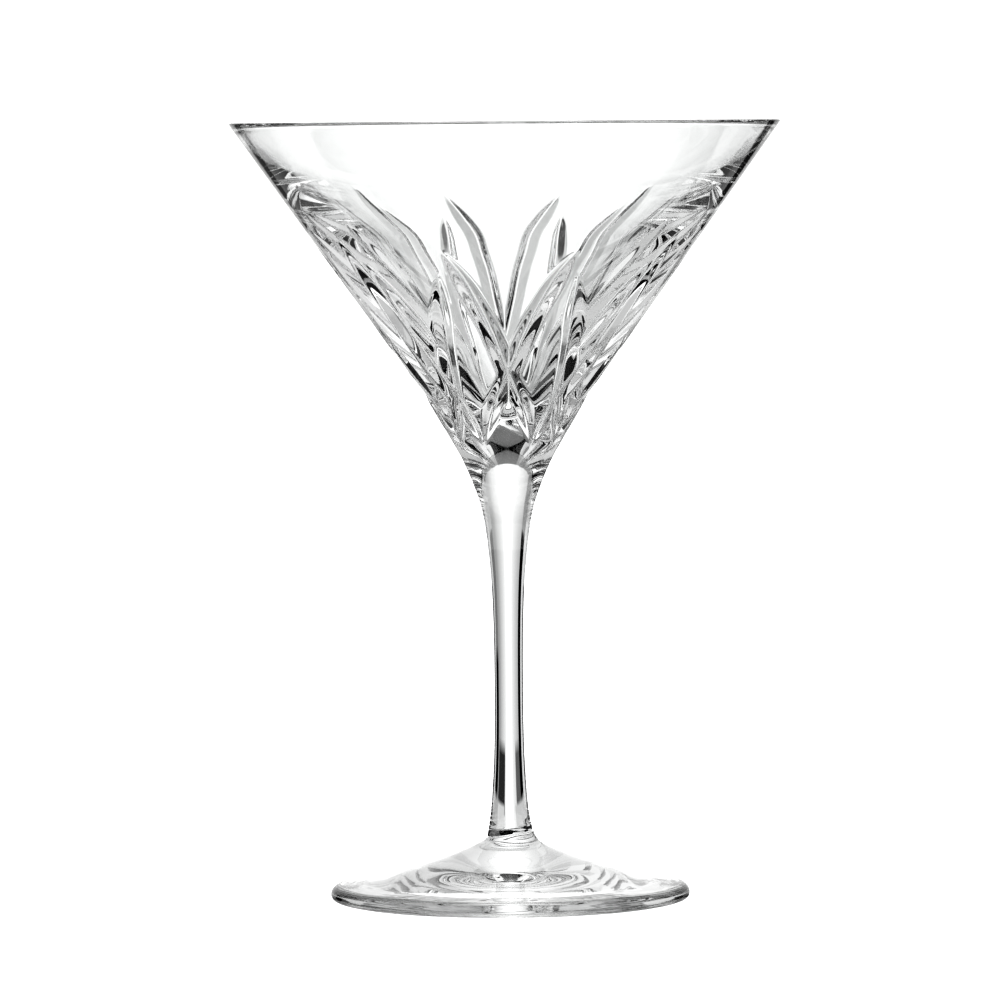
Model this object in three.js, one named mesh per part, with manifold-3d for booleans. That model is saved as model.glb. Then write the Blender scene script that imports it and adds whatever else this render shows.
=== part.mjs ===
// Cut-crystal martini glass: a thick conical bowl with wheel-cut blades, a drawn
// stem and a round foot. Millimetres, +Z up. Heights are drawn from a datum a little
// above the resting plane, and the whole glass is lifted to stand on z = 0.
import * as THREE from "three";
import { mergeVertices } from "three/addons/utils/BufferGeometryUtils.js";
import Module from "manifold-3d";

const TOTAL_HEIGHT = 168; // of the rim above the datum
const EDGE_DROP = 0.9; // how far the foot's rounded edge hangs below the datum
const RIM_RADIUS = 59.9;
const OUTER_SLOPE = Math.tan(THREE.MathUtils.degToRad(35.4)); // radius gained per height

const RIM_WALL = 2.6; // across the flat of the rim, before its edges are rounded
const RIM_EDGE = 0.35;
const CAVITY_FLOOR = 106.3; // height of the lowest point inside the bowl

const BOWL_STEM_JOINT = 90;
const STEM_FOOT_JOINT = 13.4;
const JOINT_GAP = 0.3;

const FOOT_RADIUS = 39;
const REST_RING_OUTER = 37.4;
const REST_RING_INNER = 30.5;
const HOLLOW_TOP = 1.1; // height of the middle of the shallow hollow under the foot

const BOWL_SEGMENTS = 72;
const STEM_SEGMENTS = 40;
const FOOT_SEGMENTS = 72;

// Outline of bowl base, stem and button as [radius, height] from the joint up.
const BOWL_BASE = [
  [7.62, BOWL_STEM_JOINT + JOINT_GAP / 2],
  [8.5, 92.2],
  [9.95, 95.3],
  [12.1, 99.1],
  [14.6, 103.3],
];
const BOWL_CONE_START = 108.6;

const STEM_OUTLINE = [
  [4.95, STEM_FOOT_JOINT + JOINT_GAP / 2],
  [4.5, 15.6],
  [4.12, 18.4],
  [3.78, 22.4],
  [3.42, 28],
  [3.2, 34],
  [3.1, 41],
  [3.1, 48],
  [3.15, 55],
  [3.32, 62],
  [3.62, 68.5],
  [4.05, 73.4],
  [4.5, 77.6],
  [5.15, 82],
  [5.95, 85.4],
  [6.9, 88.3],
  [7.52, BOWL_STEM_JOINT - JOINT_GAP / 2],
];

const FOOT_TOP = [
  [5.25, STEM_FOOT_JOINT - JOINT_GAP / 2],
  [5.5, 12.6],
  [6.2, 11.8],
  [7.8, 10.8],
  [9.9, 9.85],
  [13, 8.6],
  [16.8, 7.3],
  [21, 5.95],
  [26, 4.6],
  [31.5, 3.35],
  [35.8, 2.75],
  [37.6, 2.4],
  [38.6, 1.75],
];

// Inside of the bowl as [radius, height], from the rim down. The wall is even near the
// rim, and then thickens so that the cavity opens wider than the outside of the bowl.
const CAVITY_OUTLINE = [
  [53.65, 163],
  [49.6, 158],
  [44.95, 153],
  [40.1, 148],
  [34, 142],
  [26, 134],
  [18, 125.6],
  [11, 118.2],
  [6.6, 112.7],
  [3.6, 108.7],
  [1.7, 106.9],
];

// The cuts, as stations [azimuth in degrees, drop below the rim] along each one, with
// its greatest depth, half the angle of the wheel's edge, and the shares of its length
// over which the wheel sinks in and lifts out. Every cut is repeated as mirror images
// in both upright planes of the pattern.
const CUTS = [
  {
    stations: [[21.2, 27.2], [11, 41], [0, 54.4], [-13, 62.5], [-26, 70.6]],
    depth: 1.5, half: 54, sinking: 0.22, lifting: 0.3,
  },
  {
    stations: [[23.4, 32.2], [30.5, 46], [40.7, 59.9], [58, 70.5]],
    depth: 1.5, half: 56, sinking: 0.3, lifting: 0.3,
  },
  {
    stations: [[52.7, 29.4], [45, 39], [33.5, 50.5]],
    depth: 1.1, half: 56, sinking: 0.4, lifting: 0.5,
  },
  {
    stations: [[59.5, 24.4], [50, 50], [40.7, 59.9], [24, 70.6]],
    depth: 1.5, half: 54, sinking: 0.22, lifting: 0.3,
  },
  {
    stations: [[88, 25], [76, 45], [62, 64]],
    depth: 1.4, half: 55, sinking: 0.25, lifting: 0.3,
  },
  {
    stations: [[72, 36], [81, 46], [90, 54.4], [99, 61.5], [108, 69]],
    depth: 1.3, half: 55, sinking: 0.3, lifting: 0.3,
  },
];
const PATTERN_TURN = 1.2; // degrees from the front of the glass to the pattern's middle
const COPIES = [ // the turn about the axis, and which way round the cut runs
  [0, 1],
  [0, -1],
  [180, -1],
  [180, 1],
];
const CUT_SEGMENTS = 16;
const CUT_CLEARANCE = 0.15; // how far the wheel's edge clears the glass at each end
const CUT_HEADROOM = 1.4; // how far the cutting body stands above the surface
const HEADING_STEP = 0.02; // share of a cut over which its heading is taken

const wasm = await Module();
wasm.setup();

function toManifold(geometry) {
  const bare = geometry.index ? geometry.toNonIndexed() : geometry.clone();
  bare.deleteAttribute("normal");
  bare.deleteAttribute("uv");
  const merged = mergeVertices(bare, 1e-4);
  return new wasm.Manifold(
    new wasm.Mesh({
      numProp: 3,
      vertProperties: new Float32Array(merged.attributes.position.array),
      triVerts: new Uint32Array(merged.index.array),
    }),
  );
}

function toGeometry(solid) {
  const mesh = solid.getMesh();
  const geometry = new THREE.BufferGeometry();
  const positions = new Float32Array(mesh.vertProperties);
  geometry.setAttribute("position", new THREE.BufferAttribute(positions, 3));
  geometry.setIndex(new THREE.BufferAttribute(new Uint32Array(mesh.triVerts), 1));
  geometry.computeVertexNormals();
  return geometry;
}

// A closed outline of [radius, height] pairs, turned about the Z axis.
function turned(outline, segments) {
  const points = outline.map(([radius, height]) => new THREE.Vector2(radius, height));
  return new THREE.LatheGeometry(points, segments).rotateX(Math.PI / 2);
}

function outerRadius(height) {
  if (height >= BOWL_CONE_START) {
    return RIM_RADIUS - (TOTAL_HEIGHT - height) * OUTER_SLOPE;
  }
  const outline = [...BOWL_BASE, [outerRadius(BOWL_CONE_START), BOWL_CONE_START]];
  const above = Math.max(1, outline.findIndex(([, top]) => top >= height));
  const [lowRadius, low] = outline[above - 1];
  const [highRadius, high] = outline[above];
  return THREE.MathUtils.mapLinear(height, low, high, lowRadius, highRadius);
}

// A point on the outside of the bowl, raised by a height above its surface.
function onBowl(azimuthDegrees, drop, raised = 0) {
  const azimuth = THREE.MathUtils.degToRad(azimuthDegrees - 90);
  const height = TOTAL_HEIGHT - drop;
  const step = 0.5;
  const slope = (outerRadius(height + step) - outerRadius(height - step)) / (2 * step);
  const tilt = Math.atan(slope);
  const radius = outerRadius(height) + raised * Math.cos(tilt);
  return new THREE.Vector3(
    radius * Math.cos(azimuth),
    radius * Math.sin(azimuth),
    height - raised * Math.sin(tilt),
  );
}

// How deep the wheel is in the glass at a share t of the way along its cut.
function sunkAt(t, { depth, sinking, lifting }) {
  const sink = Math.max(0, 1 - t / sinking);
  const lift = Math.max(0, 1 - (1 - t) / lifting);
  return (depth + CUT_CLEARANCE) * (1 - sink ** 2 - lift ** 2) - CUT_CLEARANCE;
}

// The body a V-edged wheel takes out while the glass is rolled along under it.
function cutter(cut, turn, side) {
  const path = new THREE.CatmullRomCurve3(
    cut.stations.map(
      ([azimuth, drop]) => new THREE.Vector3(turn + side * azimuth + PATTERN_TURN, drop, 0),
    ),
  );
  const body = new THREE.CylinderGeometry(1, 1, 1, 3, CUT_SEGMENTS);
  const position = body.attributes.position;
  const vertex = new THREE.Vector3();
  const spread = Math.tan(THREE.MathUtils.degToRad(cut.half));
  for (let i = 0; i < position.count; i += 1) {
    vertex.fromBufferAttribute(position, i);
    const t = vertex.y + 0.5;
    const here = path.getPointAt(t);
    const surface = onBowl(here.x, here.y);
    const outward = onBowl(here.x, here.y, 1).sub(surface);
    const before = path.getPointAt(Math.max(0, t - HEADING_STEP));
    const after = path.getPointAt(Math.min(1, t + HEADING_STEP));
    const along = onBowl(after.x, after.y).sub(onBowl(before.x, before.y)).normalize();
    const across = new THREE.Vector3().crossVectors(outward, along).normalize();
    const sunk = sunkAt(t, cut);
    // The prism's corners lie at 0, 120 and 240 degrees: one is the wheel's edge.
    const angle = Math.atan2(vertex.x, vertex.z);
    const radial = Math.hypot(vertex.x, vertex.z);
    if (radial < 0.5) {
      vertex.copy(surface).addScaledVector(outward, (CUT_HEADROOM - sunk) / 2);
    } else if (Math.abs(angle) < 0.5) {
      vertex.copy(surface).addScaledVector(outward, -sunk);
    } else {
      const reach = (CUT_HEADROOM + sunk) * spread * Math.sign(angle);
      vertex.copy(surface).addScaledVector(outward, CUT_HEADROOM).addScaledVector(across, reach);
    }
    position.setXYZ(i, vertex.x, vertex.y, vertex.z);
  }
  return body;
}

function buildBowl() {
  const rimInner = RIM_RADIUS - RIM_WALL;
  const outline = [
    [0, BOWL_STEM_JOINT + JOINT_GAP / 2],
    ...BOWL_BASE,
    [outerRadius(BOWL_CONE_START), BOWL_CONE_START],
    [outerRadius(125), 125],
    [outerRadius(145), 145],
    [outerRadius(TOTAL_HEIGHT - RIM_EDGE), TOTAL_HEIGHT - RIM_EDGE],
    [RIM_RADIUS - RIM_EDGE, TOTAL_HEIGHT],
    [rimInner + RIM_EDGE, TOTAL_HEIGHT],
    [rimInner - 0.1, TOTAL_HEIGHT - RIM_EDGE],
    ...CAVITY_OUTLINE,
    [0, CAVITY_FLOOR],
  ];
  let bowl = toManifold(turned(outline, BOWL_SEGMENTS));
  for (const cut of CUTS) {
    for (const [turn, side] of COPIES) {
      bowl = bowl.subtract(toManifold(cutter(cut, turn, side)));
    }
  }
  return toGeometry(bowl);
}

function buildStem() {
  const outline = [
    [0, STEM_FOOT_JOINT + JOINT_GAP / 2],
    ...STEM_OUTLINE,
    [0, BOWL_STEM_JOINT - JOINT_GAP / 2],
  ];
  return toGeometry(toManifold(turned(outline, STEM_SEGMENTS)));
}

function buildFoot() {
  const top = [...FOOT_TOP].reverse();
  const outline = [
    [0, HOLLOW_TOP],
    [12, HOLLOW_TOP * 0.9],
    [22, HOLLOW_TOP * 0.35],
    [REST_RING_INNER, -EDGE_DROP],
    [REST_RING_OUTER, -EDGE_DROP],
    [38.4, -0.6],
    [FOOT_RADIUS, 0.1],
    [FOOT_RADIUS, 0.9],
    ...top,
    [0, STEM_FOOT_JOINT - JOINT_GAP / 2],
  ];
  return toGeometry(toManifold(turned(outline, FOOT_SEGMENTS)));
}

function glass(color) {
  return new THREE.MeshStandardMaterial({ color, roughness: 0.03, metalness: 0 });
}

const group = new THREE.Group();
group.name = "martini_glass";
group.position.z = EDGE_DROP;
const parts = [
  ["bowl", buildBowl(), 0xf3f7f7],
  ["stem", buildStem(), 0xeff4f4],
  ["foot", buildFoot(), 0xebf1f2],
];
for (const [name, geometry, color] of parts) {
  const mesh = new THREE.Mesh(geometry, glass(color));
  mesh.name = name;
  group.add(mesh);
}

export default group;
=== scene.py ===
"""A cut-crystal martini glass on a luminous white table, lit as bright-field glassware."""

import math
import random

import bmesh
import bpy
import numpy as np
from mathutils import Matrix, Vector


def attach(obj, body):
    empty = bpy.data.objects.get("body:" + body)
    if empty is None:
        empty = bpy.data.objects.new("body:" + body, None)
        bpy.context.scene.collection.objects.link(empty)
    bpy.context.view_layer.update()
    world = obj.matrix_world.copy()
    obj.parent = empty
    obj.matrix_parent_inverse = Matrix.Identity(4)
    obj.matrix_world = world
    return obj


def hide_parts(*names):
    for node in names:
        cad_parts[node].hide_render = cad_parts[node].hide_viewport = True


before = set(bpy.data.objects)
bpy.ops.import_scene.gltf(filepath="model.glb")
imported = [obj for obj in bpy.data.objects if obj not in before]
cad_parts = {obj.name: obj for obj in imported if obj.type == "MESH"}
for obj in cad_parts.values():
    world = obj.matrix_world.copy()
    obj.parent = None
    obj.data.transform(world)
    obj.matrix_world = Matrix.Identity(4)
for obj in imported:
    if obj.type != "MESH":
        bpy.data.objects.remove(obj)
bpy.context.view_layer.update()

MM = 0.001
TINY = 1e-6

# ---------------------------------------------------------------- sizes, in millimetres
TOTAL_HEIGHT = 168.0  # of the rim above the datum that heights are drawn from
EDGE_DROP = 0.9  # how far the foot's rounded edge hangs below that datum
RIM_RADIUS = 59.9
OUTER_SLOPE = math.tan(math.radians(35.4))
CONE_START = 108.6
BOWL_STEM_JOINT = 90.0
STEM_FOOT_JOINT = 13.4
SHARP_ANGLE = math.radians(40)
JOINT_TILT = 0.15  # the foot was joined slightly askew, by this slope
STEM_TILT_REACH, FOOT_TILT_REACH = 6.0, 2.2  # how far the skew is felt from the joint

BOWL_SPOKES, STEM_SPOKES, FOOT_SPOKES = 640, 180, 240
OUTSIDE_SPACING, CAVITY_SPACING = 0.6, 1.6  # between the rings of points
FOOT_SPACING, UNDERSIDE_SPACING = 0.5, 1.0
CUT_RINGS = 84  # rings of points over the height of the cuts on the cone

# Outside of the bowl's base and the stem as (radius, height), from the foot up.
STEM_AND_BASE = [
    (5.02, 13.4), (4.62, 15.2), (4.18, 18.0), (3.8, 22.0), (3.42, 28.0), (3.2, 34.0),
    (3.1, 41.0), (3.1, 48.0), (3.15, 55.0), (3.32, 62.0), (3.62, 68.5), (4.05, 73.4),
    (4.5, 77.6), (5.15, 82.0), (5.95, 85.4), (7.57, 90.0), (8.5, 92.2), (9.95, 95.3),
    (12.1, 99.1), (14.6, 103.3), (17.4, 108.2), (17.69, 108.6),
]
CREASE_RADIUS = 4.55  # where the stem and the foot's button are fused
PLAIN_RINGS = (149, 153, 157, 161, 165)  # heights of the rings above the cuts
# The rounded rim from the outside to the inside, and then the cavity down to its floor.
RIM = [
    (59.6, 167.62), (59.52, 167.85), (59.3, 167.98), (59.0, 168.0),
    (57.6, 168.0), (57.32, 167.96), (57.17, 167.84),
]
RIM_DROP = 0.6  # from the rim's top to where its outer edge starts to round
CAVITY = [
    (57.1, 167.65), (56.75, 167.2), (53.65, 163.0), (49.6, 158.0), (44.95, 153.0),
    (40.1, 148.0), (34.0, 142.0), (26.0, 134.0), (18.0, 125.6), (11.0, 118.2),
    (6.6, 112.7), (3.6, 108.7), (1.7, 106.9), (0.0, 106.3),
]
# The foot's top from the button out and round the edge, and its underside back in.
FOOT_TOP = [
    (5.15, 13.15), (5.42, 12.6), (6.2, 11.8), (7.8, 10.8), (9.9, 9.85), (13.0, 8.6),
    (16.8, 7.3), (21.0, 5.95), (26.0, 4.6), (31.5, 3.35), (35.8, 2.75), (37.6, 2.4),
    (38.55, 1.75), (39.0, 0.8), (38.95, 0.0), (38.45, -0.6), (37.4, -0.9),
]
FOOT_UNDER = [
    (30.5, -0.9), (28.0, -0.55), (22.0, 0.38), (12.0, 0.98), (0.0, 1.1),
]

# Wheel cuts: stations (azimuth in degrees, drop below the rim), depth, half edge angle,
# and the shares of the length over which the wheel sinks in and lifts out.
CUTS = [
    ([(21.2, 27.2), (11, 41), (0, 54.4), (-13, 62.5), (-26, 70.6)], 1.5, 54, 0.22, 0.3),
    ([(23.4, 32.2), (30.5, 46), (40.7, 59.9), (58, 70.5)], 1.5, 56, 0.3, 0.3),
    ([(52.7, 29.4), (45, 39), (33.5, 50.5)], 1.1, 56, 0.4, 0.5),
    ([(59.5, 24.4), (50, 50), (40.7, 59.9), (24, 70.6)], 1.5, 54, 0.22, 0.3),
    ([(88, 25.0), (76, 45), (62, 64)], 1.4, 55, 0.25, 0.3),
    ([(72, 36), (81, 46), (90, 54.4), (99, 61.5), (108, 69)], 1.3, 55, 0.3, 0.3),
]
PATTERN_TURN = 1.2
HAND_DRIFT = 0.5  # how far, in degrees, the cutter's hand strays
DEPTH_SPREAD = 0.06  # share by which one cut is deeper or shallower than another
HAND_SEED = 7
CUT_TOP, CUT_BOTTOM = 22.0, 74.0  # the drops between which the bowl is cut
CUT_REACH = 4.0  # how far from its path a cut can be felt
UNCUT = -9.0  # a depth that no cut comes near, for places out of reach
STATION_SPACING = 0.5
ON_SURFACE = 0.01  # how near a point is to the bowl's outside when it is cut with it
EDGE_ROUNDING = 0.3  # how far polishing has softened the ridges, and the bottoms of cuts
BOTTOM_ROUNDING = 0.22


# ---------------------------------------------------------------- outlines
def smooth_line(points, spacing):
    """A smooth line through the points, with a point about every so many millimetres."""
    points = [Vector((*p, 0.0)) for p in points]
    padded = [2 * points[0] - points[1], *points, 2 * points[-1] - points[-2]]
    line = []
    for before, start, end, after in zip(padded, padded[1:], padded[2:], padded[3:]):
        sides = (start - before, end - start, after - end)
        back, gap, on = (max(side.length, TINY) ** 0.5 for side in sides)
        leading = sides[0] / back - (end - before) / (back + gap) + sides[1] / gap
        trailing = sides[1] / gap - (after - start) / (gap + on) + sides[2] / on
        steps = max(1, round(sides[1].length / spacing))
        for step in range(steps):
            t = step / steps
            line.append(
                (2 * t**3 - 3 * t**2 + 1) * start + (t**3 - 2 * t**2 + t) * gap * leading
                + (3 * t**2 - 2 * t**3) * end + (t**3 - t**2) * gap * trailing
            )
    line.append(points[-1])
    return [(p.x, p.y) for p in line]


BASE_LINE = smooth_line(STEM_AND_BASE, OUTSIDE_SPACING)


def outer_radius(height):
    """Radius of the outside of the bowl or stem at a height."""
    if height >= CONE_START:
        return RIM_RADIUS - (TOTAL_HEIGHT - height) * OUTER_SLOPE
    for (low_radius, low), (high_radius, high) in zip(BASE_LINE, BASE_LINE[1:]):
        if high >= height:
            return low_radius + (high_radius - low_radius) * (height - low) / (high - low)
    return BASE_LINE[-1][0]


# ---------------------------------------------------------------- mesh makers
def turned(name, outline, spokes, coarser=()):
    """A closed body turned about Z, from an outline that starts and ends on the axis.

    coarser holds the numbers of the outline's points after which every other spoke ends.
    """
    points, faces, rings = [], [], []
    for number, (radius, height) in enumerate(outline):
        start = len(points)
        count = spokes if radius > TINY else 1
        for spoke in range(count):
            angle = 2 * math.pi * spoke / spokes
            points.append((radius * math.cos(angle), radius * math.sin(angle), height))
        rings.append(list(range(start, start + count)))
        if number in coarser:
            spokes //= 2
    for lower, upper in zip(rings, rings[1:]):
        faces += faces_between(lower, upper)
    data = bpy.data.meshes.new(name)
    data.from_pydata([(x * MM, y * MM, z * MM) for x, y, z in points], [], faces)
    mesh = bmesh.new()
    mesh.from_mesh(data)
    bmesh.ops.recalc_face_normals(mesh, faces=mesh.faces)
    mesh.to_mesh(data)
    mesh.free()
    piece = bpy.data.objects.new(name, data)
    bpy.context.scene.collection.objects.link(piece)
    return piece


def faces_between(lower, upper):
    """The faces between two rings; the upper may be a point or have half the spokes."""
    faces = []
    below, above = len(lower), len(upper)
    for spoke in range(max(below, above) if 1 in (below, above) else above):
        if below == 1:
            faces.append((lower[0], upper[(spoke + 1) % above], upper[spoke]))
        elif above == 1:
            faces.append((lower[spoke], lower[(spoke + 1) % below], upper[0]))
        elif below == above:
            after = (spoke + 1) % below
            faces.append((lower[spoke], lower[after], upper[after], upper[spoke]))
        else:
            start, middle, end = (lower[(2 * spoke + k) % below] for k in range(3))
            faces.append((start, middle, upper[spoke]))
            faces.append((middle, end, upper[(spoke + 1) % above], upper[spoke]))
    return faces


def on_bowl(azimuth, drop):
    """A point on the outside of the bowl before it is cut, in millimetres."""
    radius = outer_radius(TOTAL_HEIGHT - drop)
    angle = math.radians(azimuth - 90)
    return (radius * math.cos(angle), radius * math.sin(angle), TOTAL_HEIGHT - drop)


def larger(first, second, rounding):
    """The larger of two depths, with the step between them rounded off."""
    blend = np.maximum(rounding - np.abs(first - second), 0) / rounding
    return np.maximum(first, second) + blend * blend * rounding / 4


def cut_depth(places, stations, depth, half, sinking, lifting):
    """How deep one pass of the wheel cuts at each place; negative beside the cut."""
    path = np.array([on_bowl(*station) for station in smooth_line(stations, STATION_SPACING)])
    steps = np.linalg.norm(np.diff(path, axis=0), axis=1)
    along = np.concatenate([[0], np.cumsum(steps)])
    length = along[-1]
    heading = np.gradient(path, along, axis=0)
    heading /= np.linalg.norm(heading, axis=1)[:, None]
    low, high = path.min(axis=0) - CUT_REACH, path.max(axis=0) + CUT_REACH
    result = np.full(len(places), UNCUT)
    near = np.nonzero(np.all((places > low) & (places < high), axis=1))[0]
    close = places[near]
    gaps = (close**2).sum(axis=1)[:, None] + (path**2).sum(axis=1)[None] - 2 * close @ path.T
    nearest = np.argmin(gaps, axis=1)
    offset = close - path[nearest]
    ahead = (offset * heading[nearest]).sum(axis=1)
    beside_squared = np.maximum((offset**2).sum(axis=1) - ahead**2, 0)
    t = (along[nearest] + ahead) / length
    sink = np.where(t < sinking, 1 - t / sinking, 0)
    lift = np.where(t > 1 - lifting, 1 - (1 - t) / lifting, 0)
    reach = (depth + EDGE_ROUNDING) * (1 - sink**2 - lift**2) - EDGE_ROUNDING
    slope = 1 / math.tan(math.radians(half))
    flank = np.sqrt(beside_squared + BOTTOM_ROUNDING**2) - BOTTOM_ROUNDING
    result[near] = reach - slope * flank
    return result


def engrave(piece):
    """Cuts the pattern into the outside of the bowl."""
    flat = np.empty(len(piece.data.vertices) * 3)
    piece.data.vertices.foreach_get("co", flat)
    places = flat.reshape(-1, 3) / MM
    heights = places[:, 2]
    drops = TOTAL_HEIGHT - heights
    radii = np.hypot(places[:, 0], places[:, 1])
    outside = np.array([outer_radius(z) for z in np.clip(heights, BOWL_STEM_JOINT, TOTAL_HEIGHT)])
    on_outside = np.abs(radii - outside) < ON_SURFACE
    chosen = np.nonzero(on_outside & (drops > CUT_TOP) & (drops < CUT_BOTTOM))[0]
    skin = places[chosen]
    depths = np.zeros(len(chosen))
    hand = random.Random(HAND_SEED)
    for stations, depth, half, sinking, lifting in CUTS:
        for turn, side in ((0, 1), (0, -1), (180, -1), (180, 1)):
            start = turn + PATTERN_TURN + hand.uniform(-HAND_DRIFT, HAND_DRIFT)
            path = [(start + side * azimuth, drop) for azimuth, drop in stations]
            deepest = depth * hand.uniform(1 - DEPTH_SPREAD, 1 + DEPTH_SPREAD)
            here = cut_depth(skin, path, deepest, half, sinking, lifting)
            depths = larger(depths, here, EDGE_ROUNDING)
    gained = [outer_radius(z + 0.5) - outer_radius(z - 0.5) for z in skin[:, 2]]  # per mm
    tilt = np.arctan(gained)
    inward = depths * np.cos(tilt) / radii[chosen]
    skin[:, 0] -= skin[:, 0] * inward
    skin[:, 1] -= skin[:, 1] * inward
    skin[:, 2] += depths * np.sin(tilt)
    places[chosen] = skin
    piece.data.vertices.foreach_set("co", (places * MM).ravel())
    piece.data.update()


# ---------------------------------------------------------------- materials
class Wire:
    """A shader socket that Python's operators work on."""

    def __init__(self, finish, socket):
        self.finish, self.socket = finish, socket

    def __add__(self, other):
        return self.finish.maths("ADD", self, other)

    def __sub__(self, other):
        return self.finish.maths("SUBTRACT", self, other)

    def __mul__(self, other):
        return self.finish.maths("MULTIPLY", self, other)

    def __rsub__(self, other):
        return self.finish.maths("SUBTRACT", other, self)

    __radd__ = __add__
    __rmul__ = __mul__


class Finish:
    """A material, and the one way its nodes are made."""

    def __init__(self, name):
        self.material = bpy.data.materials.new(name)
        self.material.use_nodes = True
        self.tree = self.material.node_tree
        self.tree.nodes.clear()

    def node(self, kind, settings=None, out=0, **values):
        """A node of one kind; i0, i1 and so on name an input by its number."""
        node = self.tree.nodes.new(kind)
        for key, value in (settings or {}).items():
            setattr(node, key, value)
        for key, value in values.items():
            numbered = key[0] == "i" and key[1:].isdigit()
            socket = node.inputs[int(key[1:]) if numbered else key.replace("_", " ")]
            if isinstance(value, Wire):
                self.tree.links.new(value.socket, socket)
            else:
                socket.default_value = value
        return Wire(self, node.outputs[out])

    def maths(self, operation, first, second):
        return self.node("ShaderNodeMath", {"operation": operation}, i0=first, i1=second)

    def surface(self, wire):
        output = self.tree.nodes.new("ShaderNodeOutputMaterial")
        self.tree.links.new(wire.socket, output.inputs["Surface"])
        return self.material


CRYSTAL_INDEX = 1.53
CRYSTAL_TINT = (0.995, 1.0, 0.998, 1.0)
SMEAR_ROUGHNESS = 0.012
SMEARS_PER_METRE = 90.0
BLACK = (0.0, 0.0, 0.0, 1.0)
WHITE = (1.0, 1.0, 1.0, 1.0)


def crystal(name, ripple_size, ripple_height):
    """Polished clear crystal: faint ripples from working it hot, and a trace of handling."""
    finish = Finish(name)
    place = finish.node("ShaderNodeTexCoord", out="Object")
    ripples = finish.node(
        "ShaderNodeTexNoise", Vector=place, Scale=1 / (ripple_size * MM), Detail=1.5, Roughness=0.4
    )
    smears = finish.node(
        "ShaderNodeTexNoise", Vector=place, Scale=SMEARS_PER_METRE, Detail=4.0, Roughness=0.6
    )
    bump = finish.node(
        "ShaderNodeBump", Strength=1.0, Distance=ripple_height * MM, Height=ripples
    )
    return finish.surface(
        finish.node(
            "ShaderNodeBsdfPrincipled",
            Base_Color=CRYSTAL_TINT,
            Roughness=smears * SMEAR_ROUGHNESS,
            IOR=CRYSTAL_INDEX,
            Transmission_Weight=1.0,
            Normal=bump,
        )
    )


def fused_joint():
    """The faces inside a hot joint, where the glass runs on without a surface."""
    finish = Finish("fused_joint")
    return finish.surface(finish.node("ShaderNodeBsdfPrincipled", Alpha=0.0, Roughness=0.5))


# ---------------------------------------------------------------- the three gathers
BOWL_JOINT = (BOWL_STEM_JOINT, outer_radius(BOWL_STEM_JOINT))
FOOT_JOINT = (STEM_FOOT_JOINT, CREASE_RADIUS)
JOINT_CLEARANCE = 0.2  # how far the rings next to a joint keep from it
ON_JOINT = 0.02  # how near a face's centre is to a joint when it belongs to it
STEM_CREASE = [(CREASE_RADIUS, STEM_FOOT_JOINT), (4.75, 13.47), (4.88, 13.62)]
FOOT_CREASE = [(CREASE_RADIUS, STEM_FOOT_JOINT), (4.85, 13.33)]
SHAFT_START = 13.85  # the height at which the stem's own outline takes over


def make_bowl():
    base = [(r, z) for r, z in BASE_LINE if z > BOWL_STEM_JOINT + JOINT_CLEARANCE]
    joint = (outer_radius(BOWL_STEM_JOINT), BOWL_STEM_JOINT)
    cut_top = TOTAL_HEIGHT - CUT_TOP
    cut_span = cut_top - CONE_START
    cut_rings = [cut_top - cut_span * k / CUT_RINGS for k in range(CUT_RINGS - 1, -1, -1)]
    cone = [(outer_radius(z), z) for z in (*cut_rings, *PLAIN_RINGS)]
    edge = [(outer_radius(TOTAL_HEIGHT - RIM_DROP), TOTAL_HEIGHT - RIM_DROP), *RIM]
    outline = [(0, BOWL_STEM_JOINT), joint, *base, *cone, *edge]
    coarser = (len(outline) - 1, len(outline) + 2)
    outline += smooth_line(CAVITY, CAVITY_SPACING)
    bowl = turned("bowl_glass", outline, BOWL_SPOKES, coarser)
    engrave(bowl)
    return bowl


def skew_joint(piece, reach):
    """Shears the glass near the stem's foot, so that the joint runs slightly askew."""
    for vertex in piece.data.vertices:
        away = abs(vertex.co.z / MM - STEM_FOOT_JOINT) / reach
        if away < 1:
            vertex.co.z += vertex.co.x * JOINT_TILT * (1 - away) ** 2 * (1 + 2 * away)


def make_stem():
    top = BOWL_STEM_JOINT - JOINT_CLEARANCE
    shaft = [(r, z) for r, z in BASE_LINE if SHAFT_START < z < top]
    joint = (outer_radius(BOWL_STEM_JOINT), BOWL_STEM_JOINT)
    outline = [(0, STEM_FOOT_JOINT), *STEM_CREASE, *shaft, joint, (0, BOWL_STEM_JOINT)]
    stem = turned("stem_glass", outline, STEM_SPOKES)
    skew_joint(stem, STEM_TILT_REACH)
    return stem


def make_foot():
    top = [*FOOT_CREASE, *smooth_line(FOOT_TOP, FOOT_SPACING)]
    outline = [(0, STEM_FOOT_JOINT), *top, *smooth_line(FOOT_UNDER, UNDERSIDE_SPACING)]
    foot = turned("foot_glass", outline, FOOT_SPOKES)
    skew_joint(foot, FOOT_TILT_REACH)
    return foot


def on_joint(centre, joint):
    """Whether a face's centre lies in a joint, given as its height and radius."""
    height, radius = joint
    skew = JOINT_TILT * centre.x if joint == FOOT_JOINT else 0.0
    level = abs(centre.z - height - skew) < ON_JOINT
    return level and math.hypot(centre.x, centre.y) < radius


def finish_piece(piece, node, material, joints):
    piece.data.materials.append(material)
    piece.data.materials.append(joint_material)
    for face in piece.data.polygons:
        if any(on_joint(face.center / MM, joint) for joint in joints):
            face.material_index = 1
    piece.data.transform(Matrix.Translation((0, 0, EDGE_DROP * MM)))
    piece.data.shade_smooth()
    piece.data.set_sharp_from_angle(angle=SHARP_ANGLE)
    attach(piece, "root")
    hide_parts(node)


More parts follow.
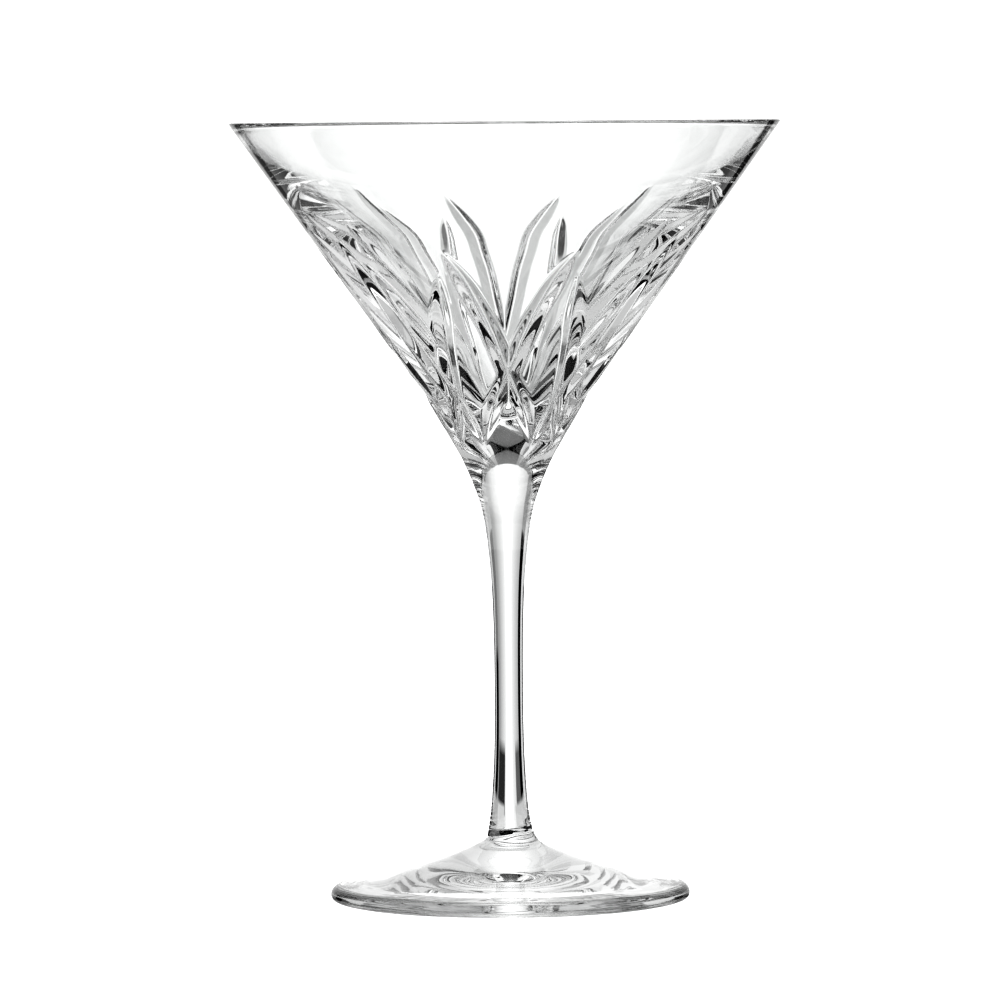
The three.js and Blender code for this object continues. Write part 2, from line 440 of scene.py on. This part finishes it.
joint_material = fused_joint()
finish_piece(make_bowl(), "bowl", crystal("bowl_crystal", 14, 0.02), [BOWL_JOINT])
finish_piece(make_stem(), "stem", crystal("stem_crystal", 9, 0.02), [BOWL_JOINT, FOOT_JOINT])
finish_piece(make_foot(), "foot", crystal("foot_crystal", 11, 0.05), [FOOT_JOINT])


# ---------------------------------------------------------------- camera
CAMERA_DISTANCE = 1.5
FRAME_WIDTH = 0.2165  # what the view takes in at the glass
SENSOR_WIDTH, CLIP_END = 36.0, 20.0
RIM_LEVEL = (TOTAL_HEIGHT + EDGE_DROP) * MM
AIM_BELOW_RIM = 0.379 * FRAME_WIDTH
AIM = Vector((-0.0016, 0.0, RIM_LEVEL - AIM_BELOW_RIM))
ROLL = math.radians(0.45)

camera_data = bpy.data.cameras.new("camera")
camera_data.sensor_width = SENSOR_WIDTH
camera_data.lens = SENSOR_WIDTH * CAMERA_DISTANCE / FRAME_WIDTH
camera_data.clip_end = CLIP_END
camera = bpy.data.objects.new("camera", camera_data)
bpy.context.scene.collection.objects.link(camera)
camera.location = (AIM.x, -CAMERA_DISTANCE, RIM_LEVEL)
look = (AIM - camera.location).normalized()
camera.rotation_mode = "QUATERNION"
roll = Matrix.Rotation(-ROLL, 3, "Z").to_quaternion()
camera.rotation_quaternion = look.to_track_quat("-Z", "Y") @ roll
bpy.context.scene.camera = camera


# ---------------------------------------------------------------- table, backdrop and lights
# Cards and lights around the glass: bearings from and to, rises from and to, brightness.
# Bearing 0 is straight behind the glass, 90 to its right; later ones stand in front.
STUDIO = [
    ("dark room", -180, 180, -90, 90, 0.0),
    ("dim header above the backdrop", -40, 40, 34, 50, 0.26),
    ("overhead softbox left", -110, -40, 50, 64, 0.52),
    ("overhead softbox right", 40, 110, 50, 64, 0.63),
    ("table below", -60, 60, -90, -62, 0.63),
    ("table left", -150, -14, -60, -26, 0.55),
    ("shadow on the table left", -100, -40, -54, -40, 0.0),
    ("table right", 14, 60, -60, -26, 0.46),
    ("table far right", 60, 150, -54, -30, 0.12),
    ("shadow on the table right", 34, 75, -44, -32, 0.02),
    ("table middle", -14, 14, -62, -33, 0.5),
    ("table edge left", -62, -13, -26, -14, 0.46),
    ("table edge right", 13, 31, -26, -14, 0.5),
    ("table edge far right", 31, 60, -26, -14, 0.38),
    ("grey card left", -61, -44, -16, 12, 0.55),
    ("grey card left, upper", -61, -44, 12, 36, 0.42),
    ("gap left, upper", -44, -31, 7, 34, 0.28),
    ("grey card right", 36, 50, -4, 8, 0.2),
    ("grey card right, upper", 36, 50, 8, 36, 0.42),
    ("white strip right", 50, 62, -16, 36, 0.46),
    ("grey wall left", -112, -62, 2, 40, 0.52),
    ("grey wall right", 62, 104, 2, 36, 0.42),
    ("softbox left", -144, -112, 7, 50, 0.82),
    ("softbox right", 104, 150, 7, 52, 0.82),
    ("fill high in front left", -180, -144, 22, 50, 0.74),
    ("fill high in front right", 154, 180, 22, 50, 0.74),
]
FLAGS = [  # black cards low in front of the backdrop, which draw the dark edges
    ("flag right", 12, 31, -16, -9, 0.05),
    ("flag left", -30, -17, -16, -9, 0.15),
]
BACKDROP_LEFT, BACKDROP_RIGHT = -30.5, 36
BACKDROP_TOP = 0.78  # of the backdrop's distance; a flat sheet, so its edge dips sideways
BACKDROP_FOOT = -14  # its foot's rise, and in the middle where it sweeps onto the table
SWEEP_FOOT, SWEEP_HALF_WIDTH = -30, 13
GLOW_BEARINGS = [-31, -22, -16, -10, -6, 0, 6, 10, 16, 22, 28, 36]
GLOW = [0.38, 0.46, 0.54, 0.63, 0.75, 0.95, 0.75, 0.63, 0.53, 0.44, 0.33, 0.3]
LIFT = 0.3  # share by which the backdrop's upper sides are brighter than its middle
LIFT_START, LIFT_SPAN, LIFT_ASIDE = 4, 18, 20
STUDIO_LEVEL = 0.93
SHELL_RADIUS = 2.6
SHELL_STEP = 1.0  # in degrees
SHELL_CENTRE = Vector((0, 0, 0.09))
TABLE_REACH, TABLE_GAP = 3.0, 0.0001


def brightness(bearing, rise):
    """How bright the studio is in one direction from the glass."""
    foot = SWEEP_FOOT if abs(bearing) < SWEEP_HALF_WIDTH else BACKDROP_FOOT
    top = math.degrees(math.atan(BACKDROP_TOP * math.cos(math.radians(bearing))))
    if BACKDROP_LEFT < bearing < BACKDROP_RIGHT and foot < rise < top:
        height = min(max((rise - LIFT_START) / LIFT_SPAN, 0), 1)
        aside = min(abs(bearing) / LIFT_ASIDE, 1)
        glow = float(np.interp(bearing, GLOW_BEARINGS, GLOW))
        value = glow * (1 + LIFT * height * aside)
        cards = FLAGS
    else:
        value = 0.0
        cards = STUDIO
    for _, start, end, low, high, card in cards:
        if start <= bearing <= end and low <= rise <= high:
            value = card
    return value * STUDIO_LEVEL


def stage_piece(name, corners, faces, material):
    mesh = bpy.data.meshes.new(name)
    mesh.from_pydata(corners, [], faces)
    mesh.materials.append(material)
    sheet = bpy.data.objects.new(name, mesh)
    bpy.context.scene.collection.objects.link(sheet)
    return sheet


def glow_material(name, colour):
    """A surface that only shines: in one colour, or as its corners' light says."""
    finish = Finish(name)
    if colour is None:
        colour = finish.node("ShaderNodeAttribute", {"attribute_name": "light"}, out="Color")
    return finish.surface(
        finish.node(
            "ShaderNodeBsdfPrincipled",
            Base_Color=BLACK,
            Roughness=1.0,
            Specular_IOR_Level=0.0,
            Emission_Color=colour,
            Emission_Strength=1.0,
        )
    )


def studio_shell():
    """The studio around the glass; it keeps its place around the camera's view."""
    columns, rows = round(360 / SHELL_STEP), round(180 / SHELL_STEP)
    bpy.context.view_layer.update()
    to_camera = camera.matrix_world.inverted()
    corners, light = [], []
    for row in range(rows + 1):
        rise = -90 + row * SHELL_STEP
        for column in range(columns):
            bearing = -180 + column * SHELL_STEP
            level, up = math.radians(bearing), math.radians(rise)
            across = math.cos(up)
            ray = Vector((math.sin(level) * across, math.cos(level) * across, math.sin(up)))
            corners.append(to_camera @ (SHELL_CENTRE + SHELL_RADIUS * ray))
            value = brightness(bearing, rise)
            light += [value, value, value, 1.0]
    faces = []
    for row in range(rows):
        for column in range(columns):
            after = (column + 1) % columns
            lower, upper = row * columns, (row + 1) * columns
            faces.append((lower + column, lower + after, upper + after, upper + column))
    shell = stage_piece("studio_shell", corners, faces, glow_material("studio_light", None))
    layer = shell.data.color_attributes.new("light", "FLOAT_COLOR", "POINT")
    layer.data.foreach_set("color", light)
    shell.parent = camera


studio_shell()
CORNERS = ((-1, -1), (1, -1), (1, 1), (-1, 1))
table_corners = [(x * TABLE_REACH, y * TABLE_REACH, -TABLE_GAP) for x, y in CORNERS]
table = stage_piece(
    "white_table", table_corners, [(0, 1, 2, 3)], glow_material("white_table", WHITE)
)
table.visible_transmission = False  # the glass sees the studio shell instead
table.visible_glossy = False

ROOM_GREY = (0.3, 0.3, 0.3, 1.0)
world = bpy.data.worlds.new("studio")
bpy.context.scene.world = world
world.use_nodes = True
room = world.node_tree.nodes["Background"]
room.inputs["Color"].default_value = ROOM_GREY
room.inputs["Strength"].default_value = 1.0

scene = bpy.context.scene
scene.view_settings.view_transform = "Standard"
scene.view_settings.look = "Very High Contrast"
scene.cycles.max_bounces = 40
scene.cycles.transmission_bounces = 40
scene.cycles.glossy_bounces = 16
scene.cycles.transparent_max_bounces = 24
